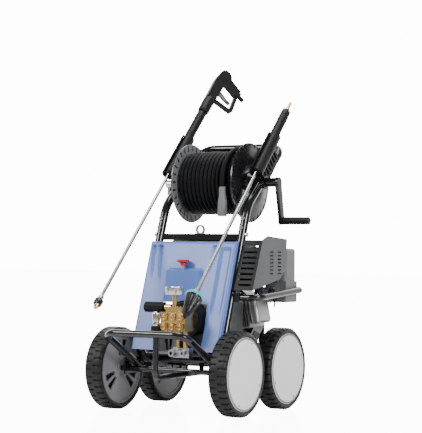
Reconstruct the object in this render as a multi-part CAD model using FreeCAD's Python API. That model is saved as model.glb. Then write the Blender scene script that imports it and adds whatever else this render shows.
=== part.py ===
import FreeCAD, Part
import os
from math import cos, sin, tan, radians, pi, hypot

V = FreeCAD.Vector
X = V(1, 0, 0)
Y = V(0, 1, 0)
Z = V(0, 0, 1)

# Petrol pressure washer on four wheels. Millimetres, +Z up, the front faces -Y.
# Everything is built about the machine's middle plane (x = 0), the middle of the
# wheelbase (y = 0) and the ground (z = 0), and is moved to its origin at the end.

# ---- driving dimensions -------------------------------------------------------
WHEEL_R = 150.0          # tyre radius
TYRE_W = 70.0
TYRE_BORE_R = 128.0      # where the tyre sits on the rim
HALF_TRACK = 254.4       # middle plane to tyre middle
HALF_BASE = 166.2        # middle of the wheelbase to each axle
AXLE_R = 10.0
RUN_FIT = 0.06           # radial clearance of a running fit
GAP = 0.5                # clearance between pieces that move past each other

FRAME_OD = 32.0          # main frame tube
FRAME_WALL = 2.5
HALF_FRAME = 174.0       # middle plane to the side tubes
RAIL_Z = 182.0           # height of the lower rails
RAIL_REAR_Y = 225.0
RAIL_FRONT_Y = -147.0
FRAME_LEAN = 19.2        # side tubes, degrees back from vertical
JOINT_Z = 682.0          # handle joint height
HANDLE_LEAN = 50.2       # upper handle run, degrees back from vertical
HANDLE_TOP_Z = 978.0
HANDLE_BEND = 52.0
DECK_T = 5.0
CROSS_BAR_Z = 631.0
CROSS_BAR_H = 24.0

BUMPER_OD = 25.0
BUMPER_Y = -376.0
BUMPER_Z = 284.0
HALF_BUMPER = 166.0
POST_X = 49.0

PANEL_HALF_W = 181.6
PANEL_T = 3.5
PANEL_TOP_Z = 613.6
PANEL_TOP_Y = -43.0
PANEL_LEAN = 18.8
PANEL_BOTTOM_Z = 222.0
PANEL_DEPTH = 26.0

REEL_Z = 836.0
REEL_FLANGE_R = 149.0
REEL_HALF_W = 127.0      # middle plane to a flange's outer plane
FLANGE_T = 4.0
DRUM_R = 86.0
SHAFT_R = 12.5
BOSS_R = 25.0
HOSE_OD = 16.5
HOSE_PACK_R = 120.3
CRANK_R = 145.0          # hub to grip
CRANK_X = 245.0
GRIP_R = 14.0
GRIP_L = 98.0

LANCE_X = 188.0
LANCE_LEAN = 44.5        # lance lines, degrees from vertical
LANCE_Y = 86.0           # a point of the lance line: the holder's lower end
LANCE_Z = 868.0
HOLDER_L = 205.0
LANCE_GRIP_R = 18.0
PIPE_R = 6.5
GUN_ROLL = 34.0

PUMP_X = 38.0            # pump and engine shaft line
PUMP_Z = 335.0
HEAD_FRONT_Y = -245.0
HEAD_BACK_Y = -178.0
PUMP_BACK_Y = -96.0

GUARD_X = 268.0          # side face of the muffler guard
HOOP_X = 284.0
HOOP_OD = 23.0
HOOP_Z = 415.0
HOOP_REAR_Y = 288.0

# ---- places that follow from them ---------------------------------------------
LEAN_T = tan(radians(FRAME_LEAN))
BEND_Z = 748.3
FRAME_FOOT_Y = RAIL_FRONT_Y


def side_y(z):
    "Middle of a side tube at a height below the handle's bend."
    return FRAME_FOOT_Y + (z - RAIL_Z) * LEAN_T


BEND_Y = side_y(BEND_Z)
UP_T = tan(radians(HANDLE_LEAN))
REEL_Y = BEND_Y + (REEL_Z - BEND_Z) * UP_T
HANDLE_TOP_Y = BEND_Y + (HANDLE_TOP_Z - BEND_Z) * UP_T
PANEL_TAN = tan(radians(PANEL_LEAN))


# ---- helpers -------------------------------------------------------------------
def box(x0, x1, y0, y1, z0, z1):
    return Part.makeBox(x1 - x0, y1 - y0, z1 - z0, V(x0, y0, z0))


def rod(p, d, r, length):
    return Part.makeCylinder(r, length, V(*p), V(*d))


def pipe(p, d, r, bore, length):
    return rod(p, d, r, length).cut(rod(p, d, bore, length))


def path(points, bend):
    "Straight runs joined by tangent arcs of one bend radius."
    pts = [V(*p) for p in points]
    edges = []
    start = pts[0]
    for a, b, c in zip(pts, pts[1:], pts[2:]):
        u = (b - a).normalize()
        v = (c - b).normalize()
        turn = u.getAngle(v)
        t = bend * tan(turn / 2)
        p = b - u * t
        q = b + v * t
        mid = b + (v - u).normalize() * bend * (1 / cos(turn / 2) - 1)
        edges.append(Part.LineSegment(start, p).toShape())
        edges.append(Part.Arc(p, mid, q).toShape())
        start = q
    edges.append(Part.LineSegment(start, pts[-1]).toShape())
    return Part.Wire(edges)


def bar(points, bend, r):
    "A solid round bar along a bent path."
    d = (V(*points[1]) - V(*points[0])).normalize()
    ring = Part.Wire(Part.makeCircle(r, V(*points[0]), d))
    return path(points, bend).makePipeShell([ring], True, False)


def tube(points, bend, od, wall):
    return bar(points, bend, od / 2).cut(bar(points, bend, od / 2 - wall))


def turned(profile, p, d):
    "Solid of revolution: profile of (along, radius) pairs, axis through p along d."
    pts = [V(r, 0, a) for a, r in profile]
    face = Part.Face(Part.makePolygon(pts + [pts[0]]))
    solid = face.revolve(V(0, 0, 0), Z, 360)
    solid.Placement = FreeCAD.Placement(V(*p), FreeCAD.Rotation(Z, V(*d)))
    return solid


def plate(points, p, d, t):
    "Flat plate: outline points as vectors, pushed t along d."
    face = Part.Face(Part.makePolygon([V(*q) for q in points + points[:1]]))
    return face.extrude(V(*d) * t)


def mirrored(shape):
    return shape.mirror(V(0, 0, 0), X)


def fused(shapes):
    out = shapes[0]
    for s in shapes[1:]:
        out = out.fuse(s)
    return out.removeSplitter()


def rounded(shape, r):
    return shape.makeFillet(r, shape.Edges)


def group(shapes):
    return Part.makeCompound(shapes)


def on_lance(shape, side):
    "From the lance's own frame (+Z up the lance, +X to the side) to its holder."
    s = shape.copy()
    s.Placement = FreeCAD.Placement(V(side * LANCE_X, LANCE_Y, LANCE_Z),
                                    FreeCAD.Rotation(X, -LANCE_LEAN)).multiply(s.Placement)
    return s


def on_gun(shape):
    "The gun is rolled about the lance line."
    s = shape.copy()
    s.Placement = FreeCAD.Placement(V(0, 0, 0), FreeCAD.Rotation(Z, -GUN_ROLL)).multiply(s.Placement)
    return on_lance(s, -1)


nodes = {}

# ---- chassis -------------------------------------------------------------------
DECK_Z = RAIL_Z + FRAME_OD / 2
side = tube([(HALF_FRAME, RAIL_REAR_Y, RAIL_Z), (HALF_FRAME, FRAME_FOOT_Y, RAIL_Z),
             (HALF_FRAME, side_y(JOINT_Z), JOINT_Z)], 60.0, FRAME_OD, FRAME_WALL)
inner = HALF_FRAME - FRAME_OD / 2 + 1.5
CROSS_Y = (RAIL_REAR_Y - 30.0, FRAME_FOOT_Y + 90.0)
crosses = [tube([(-inner, y, RAIL_Z), (inner, y, RAIL_Z)], 0, 25.0, 2.0) for y in CROSS_Y]
bar_y = side_y(CROSS_BAR_Z)
crosses.append(box(-inner, inner, bar_y - 8, bar_y + 8, CROSS_BAR_Z - CROSS_BAR_H / 2,
                   CROSS_BAR_Z + CROSS_BAR_H / 2))
BRACKET_X = 196.0        # axle bracket's outer face
BRACKET_HALF = 24.0
for y, y_end in ((-HALF_BASE, FRAME_FOOT_Y + 70), (HALF_BASE, HALF_BASE + BRACKET_HALF)):
    for s in (-1, 1):
        x0 = s * BRACKET_X - 3
        b = box(x0, x0 + 6, y - BRACKET_HALF, y_end, WHEEL_R - 18, RAIL_Z + 6)
        arm = box(min(x0, s * (HALF_FRAME + 8)), max(x0 + 6, s * (HALF_FRAME + 8)),
                  y - BRACKET_HALF, y_end, RAIL_Z - 4, RAIL_Z + 2)
        crosses.append(b.fuse(arm).cut(rod((x0 - 1, y, WHEEL_R), X, AXLE_R, 8)))
nodes["chassis_frame"] = fused([side, mirrored(side)] + crosses)

# handle: a bent U tube with a boss on each side that carries the reel shaft
handle_pts = [(HALF_FRAME, side_y(JOINT_Z), JOINT_Z), (HALF_FRAME, BEND_Y, BEND_Z),
              (HALF_FRAME, HANDLE_TOP_Y, HANDLE_TOP_Z)]
left_pts = [(-x, y, z) for x, y, z in reversed(handle_pts)]


def handle_body(r):
    lower = bar(handle_pts[:2] + [(HALF_FRAME, REEL_Y - 30 * UP_T, REEL_Z - 30)], 150.0, r)
    start = V(HALF_FRAME, REEL_Y - 30 * UP_T, REEL_Z - 30)
    upper_pts = [tuple(start), handle_pts[2], left_pts[0], (-start.x, start.y, start.z)]
    upper = bar(upper_pts, HANDLE_BEND, r)
    return fused([lower, mirrored(lower), upper])


handle_solid = handle_body(FRAME_OD / 2)
bosses = [rod((s * HALF_FRAME - 22, REEL_Y, REEL_Z), X, BOSS_R, 44) for s in (-1, 1)]
BUSH_R = 18.0
handle = handle_solid.cut(handle_body(FRAME_OD / 2 - FRAME_WALL))
for b in bosses:
    handle = handle.cut(b).fuse(b)
for s in (-1, 1):
    handle = handle.cut(rod((s * HALF_FRAME - 23, REEL_Y, REEL_Z), X, BUSH_R, 46))
nodes["push_handle"] = handle
nodes["reel_bearings"] = group([pipe((s * HALF_FRAME - 22, REEL_Y, REEL_Z), X, BUSH_R,
                                     SHAFT_R + RUN_FIT, 44) for s in (-1, 1)])

# front bumper: a U hoop whose legs run back and down, with a post under it
leg_back = (HALF_BUMPER, -120.0, 150.0)
hoop = tube([leg_back, (HALF_BUMPER, BUMPER_Y, BUMPER_Z + 6), (-HALF_BUMPER, BUMPER_Y, BUMPER_Z + 6),
             (-HALF_BUMPER, leg_back[1], leg_back[2])], 48.0, BUMPER_OD, 2.0)
POST_FOOT_Z = 140.0
post = tube([(POST_X, BUMPER_Y + 2, BUMPER_Z), (POST_X, BUMPER_Y + 2, POST_FOOT_Z),
             (POST_X, CROSS_Y[1] + 4, POST_FOOT_Z)], 26.0, 20.0, 2.0)
riser = tube([(POST_X, CROSS_Y[1], POST_FOOT_Z - 6), (POST_X, CROSS_Y[1], RAIL_Z - 12.5)],
             0, 18.0, 2.0)
frame_outer = bar([(HALF_FRAME, RAIL_REAR_Y, RAIL_Z), (HALF_FRAME, FRAME_FOOT_Y, RAIL_Z),
                   (HALF_FRAME, side_y(JOINT_Z), JOINT_Z)], 60.0, FRAME_OD / 2)
bumper = fused([hoop, post, riser])
for cutter in (frame_outer, mirrored(frame_outer)):
    bumper = bumper.cut(cutter)
bumper = bumper.cut(rod((-inner, CROSS_Y[1], RAIL_Z), X, 12.5, 2 * inner))
bumper = bumper.cut(rod((-300, -HALF_BASE, WHEEL_R), X, AXLE_R + GAP, 600))
nodes["front_bumper"] = max(bumper.Solids, key=lambda s: s.Volume)

# engine guard hoop: out from the right tube, back past the cylinder and down to the deck
HOOP_RISE = 0.065
HOOP_LEG_X = 112.0        # the rear leg passes to the right of the pull starter
TUBE_FACE = HALF_FRAME + FRAME_OD / 2
start_y = side_y(HOOP_Z)
rear_z = HOOP_Z + (HOOP_REAR_Y - start_y) * HOOP_RISE
guard = tube([(TUBE_FACE - 2, start_y, HOOP_Z - 1), (HOOP_X, start_y, HOOP_Z),
              (HOOP_X, HOOP_REAR_Y, rear_z), (HOOP_LEG_X, HOOP_REAR_Y, rear_z),
              (HOOP_LEG_X, HOOP_REAR_Y, DECK_Z + DECK_T)], 34.0, HOOP_OD, 2.0)
ear = box(TUBE_FACE - 1, TUBE_FACE + 24, start_y - 14, start_y + 14, HOOP_Z - 16, HOOP_Z + 16)
guard = fused([guard, ear.cut(rod((TUBE_FACE - 2, start_y, HOOP_Z), X, HOOP_OD / 2 - 3, 40))])
nodes["engine_guard_hoop"] = guard.cut(frame_outer)

# deck with the grey side plate and the slanted bracket at its right
deck = box(-HALF_FRAME, HALF_FRAME, FRAME_FOOT_Y + 50, HOOP_REAR_Y + 20, DECK_Z, DECK_Z + DECK_T)
side_plate = plate([(0, FRAME_FOOT_Y + 62, DECK_Z + DECK_T), (0, 28, DECK_Z + DECK_T),
                    (0, 28, 400), (0, side_y(400) + 22, 400)], (0, 0, 0), X, 4)
side_plate.translate(V(HALF_FRAME - 6, 0, 0))
bracket = plate([(0, 30, DECK_Z), (0, 100, DECK_Z), (0, 150, 276), (0, 110, 288)], (0, 0, 0), X, 5)
bracket.translate(V(HALF_FRAME - 1, 0, 0))
deck = fused([deck, side_plate, bracket])
for cutter in (frame_outer, mirrored(frame_outer)):
    deck = deck.cut(cutter)
nodes["engine_deck"] = deck

# axles, each with a washer and a ring at both ends
AXLE_END = HALF_TRACK + 26.0
HUB_OUT = HALF_TRACK + 18.0
axle_parts = []
for y in (-HALF_BASE, HALF_BASE):
    axle_parts.append(rod((-AXLE_END, y, WHEEL_R), X, AXLE_R, 2 * AXLE_END))
    for s in (-1, 1):
        x0 = s * (HUB_OUT + GAP)
        axle_parts.append(rod((x0, y, WHEEL_R), V(s, 0, 0), 17.0, 3.0).cut(
            rod((x0, y, WHEEL_R), V(s, 0, 0), AXLE_R, 3.0)))
        axle_parts.append(rod((x0 + s * 3, y, WHEEL_R), V(s, 0, 0), 14.0, 3.0).cut(
            rod((x0 + s * 3, y, WHEEL_R), V(s, 0, 0), AXLE_R, 3.0)))
nodes["axles"] = group(axle_parts)

# ---- wheels --------------------------------------------------------------------
HALF_W = TYRE_W / 2
SHOULDER = 9.0
CAP_R = 129.5


def tyre():
    "Solid tyre with cross grooves, its middle at the origin and its axis along X."
    r = WHEEL_R
    prof = [(-HALF_W + 3, TYRE_BORE_R), (-HALF_W, CAP_R + 2), (-HALF_W, r - SHOULDER),
            (-HALF_W + 4, r - 3), (-HALF_W + SHOULDER, r), (HALF_W - SHOULDER, r),
            (HALF_W - 4, r - 3), (HALF_W, r - SHOULDER), (HALF_W, CAP_R + 2),
            (HALF_W - 3, TYRE_BORE_R)]
    return turned(prof, (0, 0, 0), X)


def rim():
    "Grey rim: bed, inner web with pairs of wedge windows, hub; a cap snapped on outside."
    bed = turned([(-HALF_W + 4, TYRE_BORE_R - 8), (HALF_W - 7, TYRE_BORE_R - 8),
                  (HALF_W - 7, TYRE_BORE_R), (-HALF_W + 4, TYRE_BORE_R)], (0, 0, 0), X)
    web = rod((-HALF_W + 7, 0, 0), X, TYRE_BORE_R - 4, 5)
    hub = rod((-HALF_W + 5, 0, 0), X, 26.0, HUB_OUT - HALF_TRACK + HALF_W - 5)
    body = fused([bed, web, hub]).cut(rod((-HALF_W - 1, 0, 0), X, AXLE_R + RUN_FIT, TYRE_W))
    for k in range(3):
        for s in (-1, 1):
            a0 = radians(90 + 120 * k + s * 4.0)
            a1 = radians(90 + 120 * k + s * 19.0)
            pts = [(-HALF_W, 46 * cos(a0), 46 * sin(a0)), (-HALF_W, 104 * cos(a0), 104 * sin(a0)),
                   (-HALF_W, 104 * cos(a1), 104 * sin(a1)), (-HALF_W, 46 * cos(a1), 46 * sin(a1))]
            body = body.cut(plate(pts, (0, 0, 0), X, 14))
    cap = turned([(HALF_W - 6.5, 0), (HALF_W - 6.5, 100), (HALF_W - 3, 110), (HALF_W - 6, TYRE_BORE_R),
                  (HALF_W - 3, TYRE_BORE_R), (HALF_W - 2, CAP_R - 0.8), (HALF_W, CAP_R - 2),
                  (HALF_W, 112), (HALF_W - 3.5, 100), (HALF_W - 3.5, 0)], (0, 0, 0), X)
    return group([body, cap])


the_tyre = tyre()
the_rim = rim()
for end, y in (("front", -HALF_BASE), ("rear", HALF_BASE)):
    for hand, s in (("left", -1), ("right", 1)):
        for name, shape in (("tyre", the_tyre), ("rim", the_rim)):
            one = shape if s > 0 else mirrored(shape)
            one = one.copy()
            one.translate(V(s * HALF_TRACK, y, WHEEL_R))
            nodes[f"{name}_{end}_{hand}"] = one

# ---- front panel and what is fixed near it ---------------------------------------
NOTCH_X0 = -85.0
NOTCH_X1 = 112.0
NOTCH_TOP = 408.0


def panel_y(z):
    "The panel's front face at a height."
    return PANEL_TOP_Y - (PANEL_TOP_Z - z) * PANEL_TAN


def panel_slab(z0, z1, x0, x1, front, t):
    "A slab parallel to the panel, its front this far before the face."
    pts = [(x0, panel_y(z0) - front, z0), (x0, panel_y(z1) - front, z1),
           (x0, panel_y(z1) - front + t, z1), (x0, panel_y(z0) - front + t, z0)]
    return plate(pts, (0, 0, 0), X, x1 - x0)


sheet = panel_slab(PANEL_BOTTOM_Z, PANEL_TOP_Z, -PANEL_HALF_W, PANEL_HALF_W, 0, PANEL_T)
flanks = [panel_slab(PANEL_BOTTOM_Z, PANEL_TOP_Z, x, x + PANEL_T, 0, PANEL_DEPTH)
          for x in (-PANEL_HALF_W, PANEL_HALF_W - PANEL_T)]
lip = box(-PANEL_HALF_W, PANEL_HALF_W, PANEL_TOP_Y, PANEL_TOP_Y + PANEL_DEPTH - 4,
          PANEL_TOP_Z - PANEL_T, PANEL_TOP_Z)
BOX_X0 = -76.0
BOX_X1 = 60.0
BOX_Z = 512.0
BOX_OUT = 34.0
raised = plate([(BOX_X0, panel_y(BOX_Z) + 1, BOX_Z), (BOX_X0, panel_y(BOX_Z) - BOX_OUT, BOX_Z),
                (BOX_X0, panel_y(BOX_Z - 150) - 3, BOX_Z - 150),
                (BOX_X0, panel_y(BOX_Z - 150) + 1, BOX_Z - 150)], (0, 0, 0), X, BOX_X1 - BOX_X0)
notch = panel_slab(PANEL_BOTTOM_Z - 10, NOTCH_TOP, NOTCH_X0, NOTCH_X1, 60, 120)
KNOB_X = -12.0
KNOB_Y = panel_y(BOX_Z) - 16.0
STEM_R = 6.0
panel = fused([sheet, lip, raised] + flanks).cut(notch)
panel = panel.cut(rod((KNOB_X, KNOB_Y, BOX_Z - 45), Z, STEM_R + RUN_FIT, 60))
nodes["front_panel"] = panel.cut(frame_outer).cut(mirrored(frame_outer))
nodes["red_knob"] = turned([(-25, 0), (-25, STEM_R), (14, STEM_R), (14, 9), (22, 12), (27, 22),
                            (33, 23), (36, 19), (36, 0)], (KNOB_X, KNOB_Y, BOX_Z), Z)

EYE_R = 12.0
eye_z = CROSS_BAR_Z + CROSS_BAR_H / 2
eye = rod((0, bar_y - 5, eye_z + EYE_R + 3), Y, EYE_R + 6, 10).cut(
    rod((0, bar_y - 6, eye_z + EYE_R + 3), Y, EYE_R, 12))
eye = eye.cut(box(-40, 40, bar_y - 30, bar_y + 30, eye_z - 20, eye_z))
nodes["lifting_eye"] = eye.fuse(box(-16, 16, bar_y - 8, bar_y + 8, eye_z, eye_z + 2.5)).cut(
    rod((0, bar_y - 9, eye_z + EYE_R + 3), Y, EYE_R, 18)).removeSplitter()

# ---- reel ------------------------------------------------------------------------
SHAFT_X0 = -HALF_FRAME - 34.0
SHAFT_X1 = CRANK_X + 7.0


def flange(s):
    disc = turned([(0, SHAFT_R), (0, 60), (FLANGE_T + 4, DRUM_R + 6), (FLANGE_T + 1, 125),
                   (0, 142), (0, REEL_FLANGE_R), (-FLANGE_T, REEL_FLANGE_R), (-FLANGE_T, DRUM_R + 4),
                   (-FLANGE_T, SHAFT_R)], (s * REEL_HALF_W, REEL_Y, REEL_Z), V(s, 0, 0))
    hub = rod((s * REEL_HALF_W, REEL_Y, REEL_Z), V(s, 0, 0), 30, 20)
    return disc.fuse(hub.cut(rod((s * REEL_HALF_W, REEL_Y, REEL_Z), V(s, 0, 0), SHAFT_R, 20)))


nodes["reel_flange_left"] = flange(-1).removeSplitter()
nodes["reel_flange_right"] = flange(1).removeSplitter()
DRUM_HALF = REEL_HALF_W - FLANGE_T
shaft = rod((SHAFT_X0, REEL_Y, REEL_Z), X, SHAFT_R, SHAFT_X1 - SHAFT_X0)
drum = pipe((-DRUM_HALF, REEL_Y, REEL_Z), X, DRUM_R, DRUM_R - 4, 2 * DRUM_HALF)
ends = [rod((x, REEL_Y, REEL_Z), X, DRUM_R - 3, 3) for x in (-DRUM_HALF + 4, DRUM_HALF - 7)]
nodes["reel_shaft"] = fused([shaft, drum] + ends)
nodes["hose_pack"] = pipe((-DRUM_HALF, REEL_Y, REEL_Z), X, HOSE_PACK_R, DRUM_R, 2 * DRUM_HALF)

# free end of the hose: over the front of the pack and down into its sleeve
TAIL_X = 84.0
SLEEVE_L = 108.0
SLEEVE_TOP_R = 13.0
SLEEVE_END_R = 18.0
TAIL_R = HOSE_PACK_R + SLEEVE_TOP_R - 0.7
TAIL_DROP = 16.0
TAIL_Z = REEL_Z + HOSE_PACK_R + HOSE_OD / 2 - 0.4 - TAIL_R
top = V(TAIL_X, REEL_Y, TAIL_Z + TAIL_R)
mid = V(TAIL_X, REEL_Y - TAIL_R * cos(pi / 4), TAIL_Z + TAIL_R * sin(pi / 4))
front = V(TAIL_X, REEL_Y - TAIL_R, TAIL_Z)
tail_path = Part.Wire([Part.Arc(top, mid, front).toShape(),
                       Part.LineSegment(front, front - Z * TAIL_DROP).toShape()])
tail = tail_path.makePipeShell([Part.Wire(Part.makeCircle(HOSE_OD / 2, top, V(0, -1, 0)))],
                               True, False)
nodes["hose_tail"] = tail
nodes["hose_sleeve"] = turned([(0, 0), (0, SLEEVE_TOP_R - 1), (3, SLEEVE_TOP_R), (32, SLEEVE_TOP_R),
                               (58, SLEEVE_END_R - 1), (SLEEVE_L - 3, SLEEVE_END_R),
                               (SLEEVE_L, SLEEVE_END_R - 2), (SLEEVE_L, 9), (SLEEVE_L - 24, 9),
                               (SLEEVE_L - 24, 0)],
                              tuple(front - Z * TAIL_DROP), V(0, 0, -1))

# crank
CRANK_TILT = 12.0
gy = REEL_Y + CRANK_R * sin(radians(CRANK_TILT))
gz = REEL_Z - CRANK_R * cos(radians(CRANK_TILT))
ux = V(0, gy - REEL_Y, gz - REEL_Z).normalize()
vx = ux.cross(X)
hub_c = V(CRANK_X - 7, REEL_Y, REEL_Z)
grip_c = V(CRANK_X - 7, gy, gz)
outline = [hub_c + vx * 16, hub_c - vx * 16, grip_c - vx * 13, grip_c + vx * 13]
arm = Part.Face(Part.makePolygon(outline + outline[:1])).extrude(X * 14)
arm = fused([arm, rod(tuple(hub_c), X, 19, 14), rod(tuple(grip_c), X, 15, 14),
             rod((HALF_FRAME + 24, REEL_Y, REEL_Z), X, 17, CRANK_X - 6 - HALF_FRAME - 24)])
arm = arm.cut(rod((HALF_FRAME + 20, REEL_Y, REEL_Z), X, SHAFT_R, 90))
PIN_R = 5.0
grip_x0 = CRANK_X + 7 + GAP
arm = arm.fuse(rod(tuple(grip_c + X * 13), X, PIN_R, GRIP_L + 7)).removeSplitter()
nodes["crank_arm"] = arm
nodes["crank_grip"] = turned([(0, PIN_R + RUN_FIT), (0, 11), (4, GRIP_R), (GRIP_L - 6, GRIP_R - 0.5),
                              (GRIP_L - 2, GRIP_R), (GRIP_L + 8, GRIP_R), (GRIP_L + 10, GRIP_R - 2),
                              (GRIP_L + 10, 0), (GRIP_L + 6, 0), (GRIP_L + 6, PIN_R + RUN_FIT)],
                             (grip_x0, gy, gz), X)

# ---- lance holders ----------------------------------------------------------------
HOLDER_R = 26.0
HOLDER_BORE = LANCE_GRIP_R + GAP
SLOT_HALF = PIPE_R + 2.5


def holder(side_sign):
    "Open quiver with a ribbed web that reaches the handle tube."
    quiver = rod((0, 0, 0), Z, HOLDER_R, HOLDER_L)
    web = box(-7, 7, 18, 84, 26, 168)
    for k in range(6):
        web = web.cut(box(-12, 12, 32, 66, 36 + 21.5 * k, 48 + 21.5 * k))
    body = fused([quiver, web])
    body = body.cut(rod((0, 0, -1), Z, HOLDER_BORE, HOLDER_L + 2))
    body = body.cut(box(-SLOT_HALF, SLOT_HALF, -40, 0, -1, HOLDER_L + 1))
    body = on_lance(body, side_sign)
    body = body.cut(rod((-300, REEL_Y, REEL_Z), X, BOSS_R + GAP, 600))
    return body.cut(handle_solid).Solids


for hand, s in (("left", -1), ("right", 1)):
    pieces = holder(s)
    nodes[f"lance_holder_{hand}"] = max(pieces, key=lambda q: q.Volume)

# ---- left lance with gun, right lance ----------------------------------------------
GRIP_TOP = 362.0
NOZZLE_A = -690.0
GUN_BACK = 618.0


def lance_grip(top_end):
    prof = [(8, PIPE_R), (8, 15), (14, LANCE_GRIP_R - 1), (HOLDER_L - 10, LANCE_GRIP_R - 1),
            (HOLDER_L + 4, LANCE_GRIP_R), (top_end - 8, LANCE_GRIP_R), (top_end, 14), (top_end, PIPE_R)]
    return turned(prof, (0, 0, 0), Z)


nodes["lance_grip_left"] = on_lance(lance_grip(GRIP_TOP), -1)
nodes["lance_pipe_left"] = on_lance(pipe((0, 0, NOZZLE_A + 40), Z, PIPE_R, 4.5,
                                         GRIP_TOP + 80 - NOZZLE_A - 40), -1)
nodes["flat_jet_nozzle"] = on_lance(turned([(0, 3), (0, 7), (14, 9), (16, 15), (38, 16), (40, 9),
                                            (58, 9), (58, PIPE_R), (40, PIPE_R), (40, 3)],
                                           (0, 0, NOZZLE_A), Z), -1)

GUN_HALF_T = 14.0
GUN_FRONT = 446.0
LOOP_B = 104.0


def outline_solid(points, half_t):
    "A plate in the gun's own plane: points are (along the lance, away from it)."
    pts = [V(-half_t, b, a) for a, b in points]
    return Part.Face(Part.makePolygon(pts + pts[:1])).extrude(X * 2 * half_t)


shell = outline_solid([(GUN_FRONT, -19), (GUN_FRONT + 100, -21), (GUN_BACK - 12, -12), (GUN_BACK, 0),
                       (GUN_BACK, 20), (GUN_BACK - 12, 34), (592, 40), (572, 96), (538, 96),
                       (556, 34), (550, 24), (GUN_FRONT, 20)], GUN_HALF_T)
loop = outline_solid([(GUN_FRONT, 14), (GUN_FRONT + 4, LOOP_B - 6), (GUN_FRONT + 14, LOOP_B),
                      (GUN_FRONT + 28, LOOP_B), (546, 96), (552, 82), (GUN_FRONT + 26, LOOP_B - 14),
                      (GUN_FRONT + 16, LOOP_B - 18), (GUN_FRONT + 13, 14)], 8.0)
collar = turned([(GRIP_TOP + GAP, PIPE_R), (GRIP_TOP + GAP, 19), (GRIP_TOP + 10, 22),
                 (GUN_FRONT - 12, 23), (GUN_FRONT - 2, 18), (GUN_FRONT + 2, 18),
                 (GUN_FRONT + 2, PIPE_R)], (0, 0, 0), Z)
TRIGGER_A = 500.0
TRIGGER_B = 12.0
PIVOT_R = 3.0
slot = outline_solid([(470, 0), (548, 0), (548, 24), (470, 24)], 6.0)
gun = fused([shell, loop, collar]).cut(slot)
gun = gun.cut(rod((0, 0, GRIP_TOP), Z, PIPE_R, 81))
gun = gun.fuse(rod((-GUN_HALF_T - 1, TRIGGER_B, TRIGGER_A), X, PIVOT_R, 2 * GUN_HALF_T + 2))
inlet_dir = V(0, cos(radians(14)), -sin(radians(14)))
inlet = rod((0, 92, 557), inlet_dir, 15, 10).fuse(rod((0, 100, 555), inlet_dir, 9, 26))
nodes["gun_body"] = on_gun(fused([gun, inlet]))
trigger = outline_solid([(TRIGGER_A - 12, 3), (TRIGGER_A + 12, 3), (TRIGGER_A + 10, 30),
                         (TRIGGER_A - 3, 60), (TRIGGER_A - 8, 82), (TRIGGER_A - 19, 80),
                         (TRIGGER_A - 16, 56), (TRIGGER_A - 10, 30)], 5.0)
trigger = trigger.cut(rod((-20, TRIGGER_B, TRIGGER_A), X, PIVOT_R + RUN_FIT, 40))
CATCH_A = 489.0
CATCH_B = 62.0
CATCH_PIN_R = 1.5
CATCH_T = 3.0
trigger = trigger.fuse(rod((0, CATCH_B, CATCH_A), X, CATCH_PIN_R, 5.0 + GAP + CATCH_T))
nodes["gun_trigger"] = on_gun(trigger)
catch_tab = outline_solid([(CATCH_A - 4, CATCH_B - 4), (CATCH_A + 4, CATCH_B - 4),
                           (CATCH_A + 3, CATCH_B + 14), (CATCH_A - 3, CATCH_B + 14)], CATCH_T / 2)
catch_tab.translate(V(5.0 + GAP + CATCH_T / 2, 0, 0))
catch_tab = catch_tab.fuse(rod((5.0 + GAP, CATCH_B, CATCH_A), X, 4.5, CATCH_T)).cut(
    rod((0, CATCH_B, CATCH_A), X, CATCH_PIN_R + RUN_FIT, 20)).removeSplitter()
nodes["safety_catch"] = on_gun(catch_tab)

nodes["lance_grip_right"] = on_lance(lance_grip(GRIP_TOP - 12), 1)
nodes["lance_pipe_right"] = on_lance(group([
    pipe((0, 0, NOZZLE_A + 60), Z, PIPE_R, 4.5, GRIP_TOP - 12 - NOZZLE_A - 60),
    turned([(GRIP_TOP - 12, 3), (GRIP_TOP - 12, 9), (GRIP_TOP, 9), (GRIP_TOP + 2, 6.5),
            (GRIP_TOP + 34, 6), (GRIP_TOP + 38, 4), (GRIP_TOP + 38, 3)], (0, 0, 0), Z)]), 1)
nodes["turbo_nozzle"] = on_lance(turned([(-28, 4), (-28, 9), (-20, 12), (-8, 15), (60, 30), (74, 31),
                                         (80, 29), (84, 12), (98, 10), (98, PIPE_R), (60, PIPE_R),
                                         (60, 4)], (0, 0, NOZZLE_A), Z), 1)

# ---- pump ------------------------------------------------------------------------
HEAD_HALF = 50.0
HEAD_Z0 = PUMP_Z - 40.0
HEAD_Z1 = PUMP_Z + 46.0
CRANKSHAFT_R = 14.0
head = box(PUMP_X - HEAD_HALF, PUMP_X + HEAD_HALF, HEAD_FRONT_Y, HEAD_BACK_Y, HEAD_Z0, HEAD_Z1 - 18)
neck = box(PUMP_X - 34, PUMP_X + 30, HEAD_FRONT_Y + 8, HEAD_BACK_Y, HEAD_Z1 - 19, HEAD_Z1)
GAUGE_X = 24.0
GAUGE_Y = -210.0
GAUGE_Z = 423.0
GAUGE_R = 33.5
stem = rod((GAUGE_X, GAUGE_Y, HEAD_Z1 - 1), Z, 9, GAUGE_Z - HEAD_Z1 + 1)
KNOB_AX_Z = 378.0
spindle = rod((GAUGE_X - 8, GAUGE_Y - 4, KNOB_AX_Z), V(-1, 0, 0), 12, 28)
nodes["pump_head"] = fused([head, neck, stem, spindle])
plug_z = (HEAD_Z0 + 16, HEAD_Z1 - 36)
nodes["valve_plugs"] = group([rod((PUMP_X + dx, HEAD_FRONT_Y, z), V(0, -1, 0), 10.5, 9)
                              for z in plug_z for dx in (-33, 0, 33)])
case_p = turned([(0, 0), (0, 58), (6, 61), (70, 61), (76, 56), (82, 56), (82, 20), (14, 20), (14, 0)],
                (PUMP_X, HEAD_BACK_Y, PUMP_Z), Y)
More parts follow.
